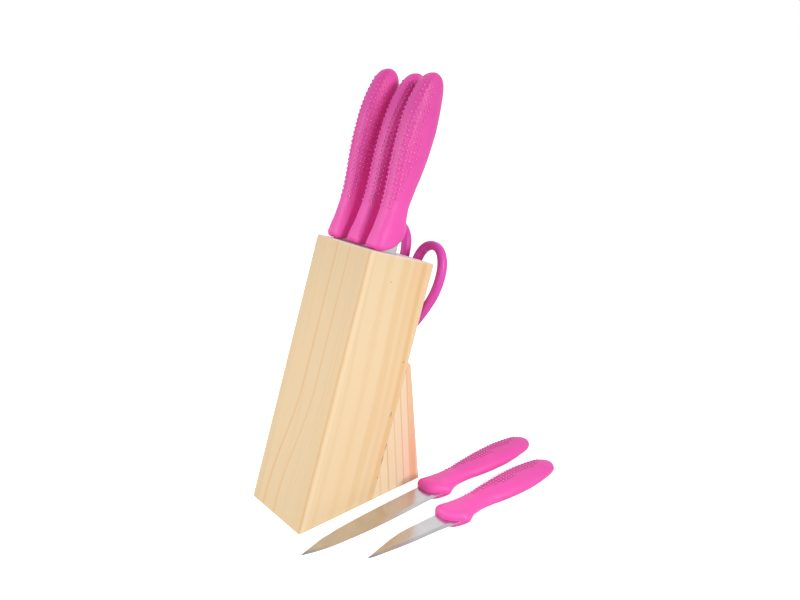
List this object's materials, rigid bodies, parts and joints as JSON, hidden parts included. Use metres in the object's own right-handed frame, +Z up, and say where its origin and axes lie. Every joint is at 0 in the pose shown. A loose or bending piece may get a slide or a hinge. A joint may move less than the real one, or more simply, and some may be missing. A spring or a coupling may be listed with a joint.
{
  "type": "knife block with knives",
  "caption": "Leaning laminated pine knife block on a wedge foot, with knives standing in its slots, scissors in a rear channel and small knives lying beside it.",
  "frame": {"origin": "centre of the block's footprint on the table, which is the centre of the rectangle under block and foot", "axes": "+X across the block towards the lying knives, +Y from the block's front edge to its foot, the way the block leans, +Z up"},
  "size_m": [0.1679, 0.258, 0.3493],
  "materials": {
    "pine": "sanded, thin clear satin lacquer",
    "dowel": "raw hardwood",
    "pink_plastic": "moulded, satin, raised grip dots on the knife handles",
    "blade_steel": "fine satin grind along the blade",
    "scissor_steel": "satin",
    "screw": "turned, satin"
  },
  "bodies": {
    "block": {"left_side_board": "pine", "left_inner_board": "pine", "right_inner_board": "pine", "right_side_board": "pine", "rear_foot": "pine", "board_dowels": "dowel", "foot_dowels": "dowel"},
    "bread_knife": {"bread_knife_blade": "blade_steel", "bread_knife_handle": "pink_plastic"},
    "slicing_knife": {"slicing_knife_blade": "blade_steel", "slicing_knife_handle": "pink_plastic"},
    "chef_knife": {"chef_knife_blade": "blade_steel", "chef_knife_handle": "pink_plastic"},
    "utility_knife": {"utility_knife_blade": "blade_steel", "utility_knife_handle": "pink_plastic"},
    "paring_knife": {"paring_knife_blade": "blade_steel", "paring_knife_handle": "pink_plastic"},
    "scissor_pivot": {"pivot_screw": "screw", "pivot_nut": "screw"},
    "scissors_right": {"scissors_right_blade": "scissor_steel", "scissors_right_bow": "pink_plastic"},
    "scissors_left": {"scissors_left_blade": "scissor_steel", "scissors_left_bow": "pink_plastic"}
  },
  "joints": [
    {"name": "bread_knife_draw", "type": "slide", "parent": "block", "child": "bread_knife", "axis": [0, 0.3305, 0.9438], "range_m": [0, 0.21]},
    {"name": "slicing_knife_draw", "type": "slide", "parent": "block", "child": "slicing_knife", "axis": [0, 0.3305, 0.9438], "range_m": [0, 0.21]},
    {"name": "chef_knife_draw", "type": "slide", "parent": "block", "child": "chef_knife", "axis": [0, 0.3305, 0.9438], "range_m": [0, 0.21]},
    {"name": "utility_knife_lift", "type": "slide", "parent": "block", "child": "utility_knife", "axis": [0, 0, 1], "range_m": [0, 0.1]},
    {"name": "paring_knife_lift", "type": "slide", "parent": "block", "child": "paring_knife", "axis": [0, 0, 1], "range_m": [0, 0.1]},
    {"name": "scissors_draw", "type": "slide", "parent": "block", "child": "scissor_pivot", "axis": [0, 0.3305, 0.9438], "range_m": [0, 0.12]},
    {"name": "scissors_right_open", "type": "hinge", "parent": "scissor_pivot", "child": "scissors_right", "pos_m": [0, 0.0542, 0.11027], "axis": [0, 0.9438, -0.3305], "range_deg": [0, 13]},
    {"name": "scissors_left_open", "type": "hinge", "parent": "scissor_pivot", "child": "scissors_left", "pos_m": [0, 0.0542, 0.11027], "axis": [0, -0.9438, 0.3305], "range_deg": [0, 13]}
  ],
  "couplings": [
    {"joint": "scissors_left_open", "follows": "scissors_right_open", "ratio": 1}
  ]
}
